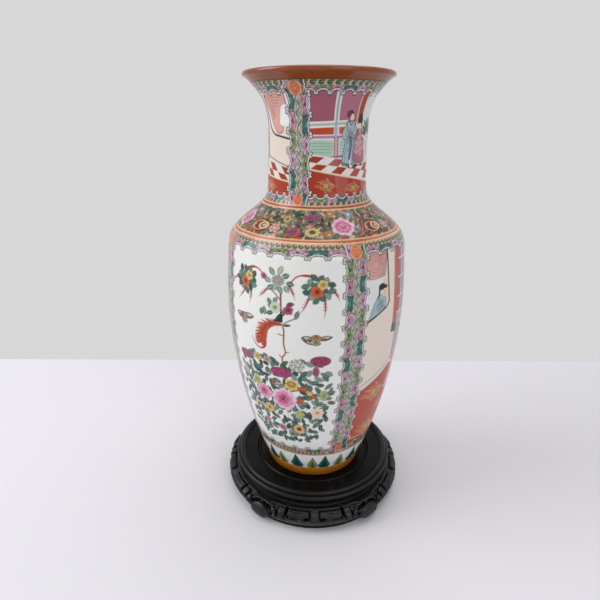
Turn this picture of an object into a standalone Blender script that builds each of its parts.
"""A baluster porcelain vase on its matched round hardwood stand.

The vase is one fired piece that lifts straight off the stand. The stand is joiner's work: a dished
top panel in a moulded rim ring, a waist ring, five carved apron pieces between five bracket legs,
a base ring and five dowels. Sizes are in millimetres, and points are (radius, height).
"""

import math

import bmesh
import bpy
from mathutils import Matrix

MM = 0.001
GAP = 0.3  # between two pieces that touch

# The vase, measured from the flat under its foot.
VASE_HEIGHT = 355.0
FOOT_RADIUS = 47.0
FOOT_FLARE = 2.0
FOOT_HEIGHT = 10.0
FOOT_RING_WIDTH = 6.0
FOOT_RECESS = 6.0
BODY_START_STEP = 4.0  # how far the body's start stands out beyond the top of the foot
BODY_START_HEIGHT = 20.0
BELLY_RADIUS = 79.5
BELLY_HEIGHT = 172.0
BELLY_FULLNESS = 1.9
SHOULDER_FULLNESS = 1.6
SHOULDER_RADIUS = 75.6
SHOULDER_HEIGHT = 233.2
SHOULDER_EASE = 10.0
NECK_RADIUS = 40.5
NECK_ROOT_HEIGHT = 258.5
NECK_EASE = 12.0
NECK_WAIST_HEIGHT = 298.0
NECK_SPREAD = 0.7
LIP_RADIUS = 60.3
LIP_ROUND = 2.1
LIP_FLARE = 3.9
WALL = 4.5
FLOOR_THICKNESS = 7.0
VASE_STEPS = 56

# The stand, from the floor up.
BASE_RING_HEIGHT = 6.0
BASE_RING_WIDTH = 16.0
BASE_RING_SETBACK = 3.0  # behind the foot of the aprons
BASE_RING_ROUND = 1.5
APRON_HEIGHT = 13.4
APRON_LEDGE = 1.5
APRON_THICKNESS = 8.0
APRON_BULGE = 14.5
APRON_SHOULDER = 2.5
APRON_FALL = 7.5
WAIST_HEIGHT = 3.6
WAIST_WIDTH = 8.0
WAIST_SETBACK = 0.4
WAIST_COVE = 0.5
LEDGE_HEIGHT = 1.5
LEDGE_WIDTH = 7.0
PANEL_THICKNESS = 6.0
PANEL_RADIUS = 70.0
RIM_WIDTH = 8.7
RIM_RISE = 3.0
RIM_BEAD = 2.1
RIM_CREST = 3.7  # from the panel's edge out to the middle of the upper bead
RIM_STEP = 1.8  # how far the lower bead lies under the upper one
RIM_UNDERCUT = 2.6
SEAT_DEPTH = 2.0
SEAT_MARGIN = 7.0
SEAT_GROOVE_STEP = 3.0
SEAT_GROOVE = 0.9
LEG_COUNT = 5
STAND_TURN = 5.3  # degrees that the first apron's middle stands round from +X
LEG_SHARE = 0.5  # of each fifth of the round, the rest being apron
LEG_PROUD = 1.6
TOE_REACH = 4.6
TOE_WIDTH = 9.0
TOE_HEIGHT = 10.0
EYE_RADIUS = 1.4
EYE_HEIGHT = 2.6
EYE_SPREAD = 4.4  # degrees each side of an apron's middle
DOWEL_RADIUS = 1.5
DOWEL_BITE = 5.0
DOWEL_CLEARANCE = 0.25
RING_STEPS = 60

# Heights where one piece rests on the next, and radii that follow from each other.
BODY_START_RADIUS = FOOT_RADIUS + FOOT_FLARE + BODY_START_STEP
APRON_BOTTOM = BASE_RING_HEIGHT + GAP
APRON_TOP = APRON_BOTTOM + APRON_HEIGHT
WAIST_BOTTOM = APRON_TOP + GAP
WAIST_TOP = WAIST_BOTTOM + WAIST_HEIGHT
RIM_BOTTOM = WAIST_TOP + GAP
PANEL_BOTTOM = RIM_BOTTOM + LEDGE_HEIGHT + GAP
PANEL_TOP = PANEL_BOTTOM + PANEL_THICKNESS
SEAT_HEIGHT = PANEL_TOP - SEAT_DEPTH
VASE_BOTTOM = SEAT_HEIGHT + GAP
RIM_INNER = PANEL_RADIUS + GAP
RIM_OUTER = RIM_INNER + RIM_WIDTH
RIM_SIDE = RIM_OUTER - RIM_UNDERCUT
WAIST_OUTER = RIM_SIDE - WAIST_SETBACK
WAIST_INNER = WAIST_OUTER - WAIST_WIDTH
APRON_TOP_RADIUS = WAIST_OUTER + APRON_LEDGE
BASE_RING_OUTER = APRON_TOP_RADIUS + APRON_FALL - BASE_RING_SETBACK
BASE_RING_INNER = BASE_RING_OUTER - BASE_RING_WIDTH
DOWEL_CIRCLE = (RIM_INNER + WAIST_OUTER) / 2
SECTOR = 2 * math.pi / LEG_COUNT
FIRST_APRON = math.radians(STAND_TURN)
FIRST_LEG = FIRST_APRON + math.pi


def between(start, stop, share):
    return tuple(a + (b - a) * share for a, b in zip(start, stop))


def bend(start, corner, stop, steps, fullness=0.7):
    """A smooth curve from start to stop that leaves and arrives along the lines through the corner."""
    first = between(start, corner, fullness)
    second = between(stop, corner, fullness)
    points = []
    for step in range(steps + 1):
        t = step / steps
        weights = ((1 - t) ** 3, 3 * t * (1 - t) ** 2, 3 * t * t * (1 - t), t**3)
        points.append(
            tuple(
                sum(weight * point[axis] for weight, point in zip(weights, (start, first, second, stop)))
                for axis in (0, 1)
            )
        )
    return points


def arc(centre, radius, start, stop, steps):
    """Points on an arc, with its angles in degrees from straight out."""
    points = []
    for step in range(steps + 1):
        angle = math.radians(start + (stop - start) * step / steps)
        points.append((centre[0] + radius * math.cos(angle), centre[1] + radius * math.sin(angle)))
    return points


def belly_radius(height):
    """The body's outer radius between its start and the shoulder's turn."""
    if height <= BELLY_HEIGHT:
        rise = (height - BODY_START_HEIGHT) / (BELLY_HEIGHT - BODY_START_HEIGHT)
        return BODY_START_RADIUS + (BELLY_RADIUS - BODY_START_RADIUS) * (1 - (1 - rise) ** BELLY_FULLNESS)
    fall = (height - BELLY_HEIGHT) / (SHOULDER_HEIGHT - BELLY_HEIGHT)
    return BELLY_RADIUS + (SHOULDER_RADIUS - BELLY_RADIUS) * fall**SHOULDER_FULLNESS


def vase_outer():
    """The vase's outside, from the edge of its foot up to the underside of its lip."""
    points = [(FOOT_RADIUS, 0.0), (FOOT_RADIUS + FOOT_FLARE, FOOT_HEIGHT)]
    turn_height = SHOULDER_HEIGHT - SHOULDER_EASE
    for step in range(10):
        height = BODY_START_HEIGHT + (turn_height - BODY_START_HEIGHT) * step / 9
        points.append((belly_radius(height), height))
    shoulder = (SHOULDER_RADIUS, SHOULDER_HEIGHT)
    neck_root = (NECK_RADIUS + NECK_SPREAD, NECK_ROOT_HEIGHT)
    slope_middle = between(shoulder, neck_root, 0.5)
    neck_start = (NECK_RADIUS + NECK_SPREAD, NECK_ROOT_HEIGHT + NECK_EASE)
    points += bend(points[-1], shoulder, slope_middle, 4)[1:]
    points += bend(slope_middle, neck_root, neck_start, 4, fullness=0.8)[1:]
    points.append((NECK_RADIUS, NECK_WAIST_HEIGHT))
    lip_height = VASE_HEIGHT - 2 * LIP_ROUND
    lip_radius = LIP_RADIUS - LIP_ROUND
    for step in range(2, 7):
        share = step / 6
        height = NECK_WAIST_HEIGHT + (lip_height - NECK_WAIST_HEIGHT) * share
        points.append((NECK_RADIUS + (lip_radius - NECK_RADIUS) * share**LIP_FLARE, height))
    return points


def moved_inward(points, distance):
    """The same outline, each point shifted square to the outline towards the axis."""
    shifted = []
    for index in range(1, len(points) - 1):
        (low_r, low_z), (high_r, high_z) = points[index - 1], points[index + 1]
        length = math.hypot(high_r - low_r, high_z - low_z)
        radius, height = points[index]
        shifted.append(
            (radius - distance * (high_z - low_z) / length, height + distance * (high_r - low_r) / length)
        )
    return shifted


def vase_section():
    """The whole section of the vase, from the axis under the foot round to the axis inside."""
    outer = vase_outer()
    lip = arc((LIP_RADIUS - LIP_ROUND, VASE_HEIGHT - LIP_ROUND), LIP_ROUND, -45, 105, 4)
    inner = moved_inward(outer, WALL)[2:-1:2]
    floor_height = FOOT_RECESS + FLOOR_THICKNESS
    floor_edge = inner[0][0] - WALL
    floor_turn = bend(inner[0], (floor_edge, floor_height), (floor_edge - 3 * WALL, floor_height), 3)
    foot_inner = FOOT_RADIUS - FOOT_RING_WIDTH
    underside = [(0.0, FOOT_RECESS), (foot_inner - 1.0, FOOT_RECESS), (foot_inner, 0.0)]
    return underside + outer + lip + inner[::-1] + floor_turn[1:] + [(0.0, floor_height)]


def rim_section():
    """The rim ring: a ledge for the panel, two rounded beads on top and an undercut side."""
    top = PANEL_TOP + RIM_RISE
    upper = (RIM_INNER + RIM_CREST, top - RIM_BEAD)
    lower = (RIM_OUTER - RIM_BEAD, top - RIM_BEAD - RIM_STEP)
    points = [
        (RIM_INNER - LEDGE_WIDTH, RIM_BOTTOM),
        (RIM_INNER - LEDGE_WIDTH, RIM_BOTTOM + LEDGE_HEIGHT),
        (RIM_INNER, RIM_BOTTOM + LEDGE_HEIGHT),
        (RIM_INNER, PANEL_TOP),
    ]
    points += arc(upper, RIM_BEAD, 150, 40, 3)
    points += arc(lower, RIM_BEAD, 75, -45, 3)
    points.append((RIM_SIDE, PANEL_BOTTOM + GAP))
    points.append((RIM_SIDE, RIM_BOTTOM))
    return points


def panel_section():
    """The top panel: flat, with a sunk seat for the foot and a fine groove round the seat."""
    seat = FOOT_RADIUS + SEAT_MARGIN
    groove = seat + SEAT_GROOVE_STEP
    return [
        (0.0, PANEL_BOTTOM),
        (PANEL_RADIUS, PANEL_BOTTOM),
        (PANEL_RADIUS, PANEL_TOP),
        (groove + SEAT_GROOVE, PANEL_TOP),
        (groove, PANEL_TOP - SEAT_GROOVE),
        (groove - SEAT_GROOVE, PANEL_TOP),
        (seat + SEAT_GROOVE, PANEL_TOP),
        (seat, SEAT_HEIGHT),
        (0.0, SEAT_HEIGHT),
    ]


def waist_section():
    return [
        (WAIST_INNER, WAIST_BOTTOM),
        (WAIST_OUTER, WAIST_BOTTOM),
        (WAIST_OUTER - WAIST_COVE, (WAIST_BOTTOM + WAIST_TOP) / 2),
        (WAIST_OUTER, WAIST_TOP),
        (WAIST_INNER, WAIST_TOP),
    ]


def base_ring_section():
    edge = BASE_RING_OUTER - BASE_RING_ROUND
    crown = BASE_RING_HEIGHT - BASE_RING_ROUND
    rounded = arc((edge, crown), BASE_RING_ROUND, 0, 90, 3)
    return [(BASE_RING_INNER, 0.0), (BASE_RING_OUTER, 0.0), *rounded, (BASE_RING_INNER, BASE_RING_HEIGHT)]


def bulge_curve(proud, steps):
    """The swelling face of the aprons and the legs, from the waist down to the base ring."""
    top = (APRON_TOP_RADIUS + proud, APRON_TOP)
    corner = (APRON_TOP_RADIUS + proud + APRON_BULGE, APRON_TOP - APRON_SHOULDER)
    bottom = (APRON_TOP_RADIUS + proud + APRON_FALL, APRON_BOTTOM)
    return bend(top, corner, bottom, steps)


def apron_section():
    """An even board that swells outward."""
    back = [(radius - APRON_THICKNESS, height) for radius, height in bulge_curve(0.0, 3)]
    return bulge_curve(0.0, 5) + back[::-1]


def leg_section():
    """The same swelling face, a little prouder, on a block with an upright back."""
    return bulge_curve(LEG_PROUD, 5) + [(WAIST_INNER, APRON_BOTTOM), (WAIST_INNER, APRON_TOP)]


def finished(name, mesh_edit, material, smooth_angle=35):
    """A scene object from this bmesh, in metres, with outward faces and smooth round sides."""
    bmesh.ops.remove_doubles(mesh_edit, verts=mesh_edit.verts, dist=0.001)
    bmesh.ops.recalc_face_normals(mesh_edit, faces=mesh_edit.faces)
    bmesh.ops.scale(mesh_edit, vec=(MM, MM, MM), verts=mesh_edit.verts)
    mesh = bpy.data.meshes.new(name)
    mesh_edit.to_mesh(mesh)
    mesh_edit.free()
    mesh.shade_smooth()
    mesh.set_sharp_from_angle(angle=math.radians(smooth_angle))
    if material:
        mesh.materials.append(material)
    obj = bpy.data.objects.new(name, mesh)
    bpy.context.scene.collection.objects.link(obj)
    return obj


def turned(name, section, material, steps=RING_STEPS, ring=True, angle=2 * math.pi):
    """A section swept round the axis: a full turn, or an angle centred on +X with its ends closed."""
    shape = bmesh.new()
    start = 0.0 if angle == 2 * math.pi else -angle / 2
    points = [shape.verts.new((r * math.cos(start), r * math.sin(start), z)) for r, z in section]
    pairs = list(zip(points, points[1:]))
    if ring:
        pairs.append((points[-1], points[0]))
    edges = [shape.edges.new(pair) for pair in pairs]
    full = angle == 2 * math.pi
    bmesh.ops.spin(
        shape,
        geom=points + edges,
        cent=(0, 0, 0),
        axis=(0, 0, 1),
        angle=angle,
        steps=steps,
        use_merge=full,
    )
    if not full:
        bmesh.ops.holes_fill(shape, edges=[edge for edge in shape.edges if edge.is_boundary])
    return finished(name, shape, material)


def as_cutter(obj):
    obj.hide_render = True
    obj.display_type = "WIRE"
    return obj


def rods(name, radius, length, places, sides=10):
    """One object of straight round rods, each placed by a matrix, with its length along local Z."""
    shape = bmesh.new()
    for place in places:
        bmesh.ops.create_cone(
            shape, cap_ends=True, segments=sides, radius1=radius, radius2=radius, depth=length, matrix=place
        )
    return as_cutter(finished(name, shape, None))


def around(angle, radius, height, tilt=0.0):
    """A place at this angle round the axis, its Z turned from up towards outward by the tilt."""
    return (
        Matrix.Rotation(angle, 4, "Z")
        @ Matrix.Translation((radius, 0, height))
        @ Matrix.Rotation(tilt, 4, "Y")
    )


def cut(obj, cutter, operation="DIFFERENCE"):
    modifier = obj.modifiers.new(cutter.name, "BOOLEAN")
    modifier.object = cutter
    modifier.operation = operation
    modifier.solver = "EXACT"


def worked_mesh(obj):
    """The mesh with its Booleans carried out, for the copies to share. The pattern piece is removed."""
    bpy.context.view_layer.update()
    graph = bpy.context.evaluated_depsgraph_get()
    mesh = bpy.data.meshes.new_from_object(obj.evaluated_get(graph))
    bpy.data.objects.remove(obj)
    return mesh


def copies(name, mesh, first_angle):
    """One object in each fifth of the round, all sharing this mesh."""
    for index in range(LEG_COUNT):
        obj = bpy.data.objects.new(f"{name}_{index + 1}", mesh)
        obj.rotation_euler.z = first_angle + SECTOR * index
        bpy.context.scene.collection.objects.link(obj)


def plain_material(name, colour, roughness):
    material = bpy.data.materials.new(name)
    material.use_nodes = True
    shader = material.node_tree.nodes["Principled BSDF"]
    shader.inputs["Base Color"].default_value = (*colour, 1)
    shader.inputs["Roughness"].default_value = roughness
    shader.inputs["Metallic"].default_value = 0.0
    return material


def build_vase(porcelain):
    vase = turned("vase", vase_section(), porcelain, steps=VASE_STEPS, ring=False)
    vase.location.z = VASE_BOTTOM * MM


def build_rings(wood, dowel_drill):
    turned("top_panel", panel_section(), wood, ring=False)
    for name, section in (("rim_ring", rim_section()), ("waist_ring", waist_section())):
        cut(turned(name, section, wood), dowel_drill)
    turned("base_ring", base_ring_section(), wood)


def build_aprons(wood):
    """Five carved apron pieces, each pierced by two small round eyes near its foot."""
    middle = APRON_TOP_RADIUS + APRON_FALL
    apron_angle = SECTOR * (1 - LEG_SHARE) - GAP / middle
    apron = turned("apron_pattern", apron_section(), wood, steps=6, angle=apron_angle)
    places = []
    for side in (-1, 1):
        turn = math.radians(EYE_SPREAD) * side
        places.append(around(turn, middle, APRON_BOTTOM + EYE_HEIGHT, math.pi / 2))
    drill = rods("eye_drill", EYE_RADIUS, 4 * APRON_THICKNESS, places)
    cut(apron, drill)
    copies("apron", worked_mesh(apron), FIRST_APRON)


def build_legs(wood):
    """Five bracket legs, each with a rounded toe that stands on the floor outside the base ring."""
    middle = APRON_TOP_RADIUS + APRON_FALL
    leg_angle = SECTOR * LEG_SHARE - GAP / middle
    leg = turned("leg_pattern", leg_section(), wood, steps=6, angle=leg_angle)
    shape = bmesh.new()
    toe_centre = (middle + LEG_PROUD, 0, TOE_HEIGHT / 2)
    swell = Matrix.Translation(toe_centre) @ Matrix.Diagonal((TOE_REACH, TOE_WIDTH, TOE_HEIGHT * 0.6, 1))
    bmesh.ops.create_uvsphere(shape, u_segments=12, v_segments=6, radius=1.0, matrix=swell)
    everything = shape.verts[:] + shape.edges[:] + shape.faces[:]
    bmesh.ops.bisect_plane(
        shape, geom=everything, plane_co=(0, 0, 0), plane_no=(0, 0, -1), clear_outer=True
    )
    bmesh.ops.holes_fill(shape, edges=[edge for edge in shape.edges if edge.is_boundary])
    toe = as_cutter(finished("toe_form", shape, None))
    room = [
        (0.0, -GAP),
        (BASE_RING_OUTER + GAP, -GAP),
        (BASE_RING_OUTER + GAP, APRON_BOTTOM),
        (0.0, APRON_BOTTOM),
    ]
    ring_room = as_cutter(turned("base_ring_room", room, None, ring=False))
    own_dowel = rods("leg_dowel_drill", DOWEL_RADIUS + DOWEL_CLEARANCE, *dowel_hole([0.0]))
    cut(leg, toe, "UNION")
    cut(leg, ring_room)
    cut(leg, own_dowel)
    copies("leg", worked_mesh(leg), FIRST_LEG)


def dowel_hole(angles):
    """The length and the places of the dowel holes, from the leg through the waist into the rim."""
    low = APRON_TOP - DOWEL_BITE - GAP
    high = RIM_BOTTOM + DOWEL_BITE + GAP
    return high - low, [around(angle, DOWEL_CIRCLE, (low + high) / 2) for angle in angles]


def build_dowels(wood):
    length = RIM_BOTTOM + DOWEL_BITE - (APRON_TOP - DOWEL_BITE)
    middle = (RIM_BOTTOM + APRON_TOP) / 2
    shape = bmesh.new()
    bmesh.ops.create_cone(
        shape,
        cap_ends=True,
        segments=10,
        radius1=DOWEL_RADIUS,
        radius2=DOWEL_RADIUS,
        depth=length,
        matrix=around(0.0, DOWEL_CIRCLE, middle),
    )
    pattern = finished("dowel_pattern", shape, wood)
    copies("dowel", worked_mesh(pattern), FIRST_LEG)


def build():
    for obj in list(bpy.data.objects):
        bpy.data.objects.remove(obj)
    porcelain = plain_material("white porcelain", (0.86, 0.85, 0.82), 0.12)
    black_wood = plain_material("ebonised hardwood", (0.012, 0.011, 0.011), 0.35)
    pale_wood = plain_material("birch dowel", (0.55, 0.40, 0.24), 0.6)
    leg_angles = [FIRST_LEG + SECTOR * index for index in range(LEG_COUNT)]
    dowel_drill = rods("dowel_drill", DOWEL_RADIUS + DOWEL_CLEARANCE, *dowel_hole(leg_angles))
    build_vase(porcelain)
    build_rings(black_wood, dowel_drill)
    build_aprons(black_wood)
    build_legs(black_wood)
    build_dowels(pale_wood)


build()
